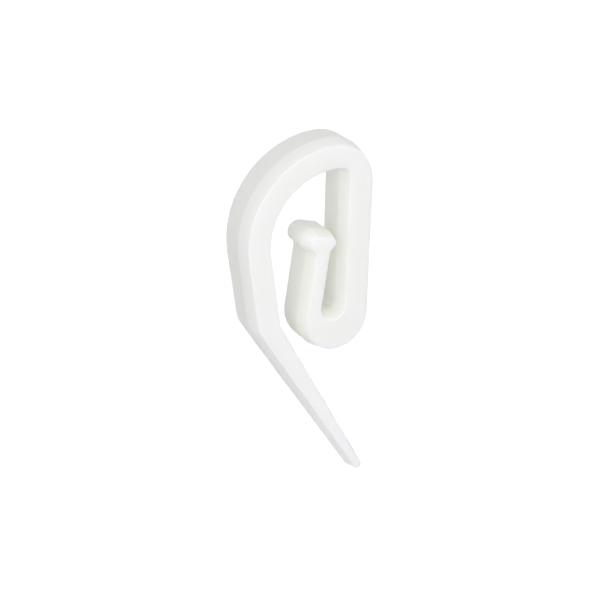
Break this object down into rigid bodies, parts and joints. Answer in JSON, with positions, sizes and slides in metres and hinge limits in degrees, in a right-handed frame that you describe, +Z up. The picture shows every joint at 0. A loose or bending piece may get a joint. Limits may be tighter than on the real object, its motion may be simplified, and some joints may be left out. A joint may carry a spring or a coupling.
{
  "type": "curtain hook",
  "caption": "One-piece white plastic curtain hook: a wide loop for a glider eye, a straight leg, a curled spring tongue with a rounded bulb, and a long tapering tail.",
  "frame": {"origin": "middle of the seat under the crown of the loop, where a glider's eye carries the hook, halfway through its depth", "axes": "+Z up as the hook hangs, +X from the arm and tail side towards the leg, -Y out of the flat front face that the picture shows"},
  "size_m": [0.013, 0.0038, 0.0342],
  "materials": {
    "plastic": "satin white moulded nylon"
  },
  "bodies": {
    "root": {"curtain_hook": "plastic"}
  },
  "joints": []
}
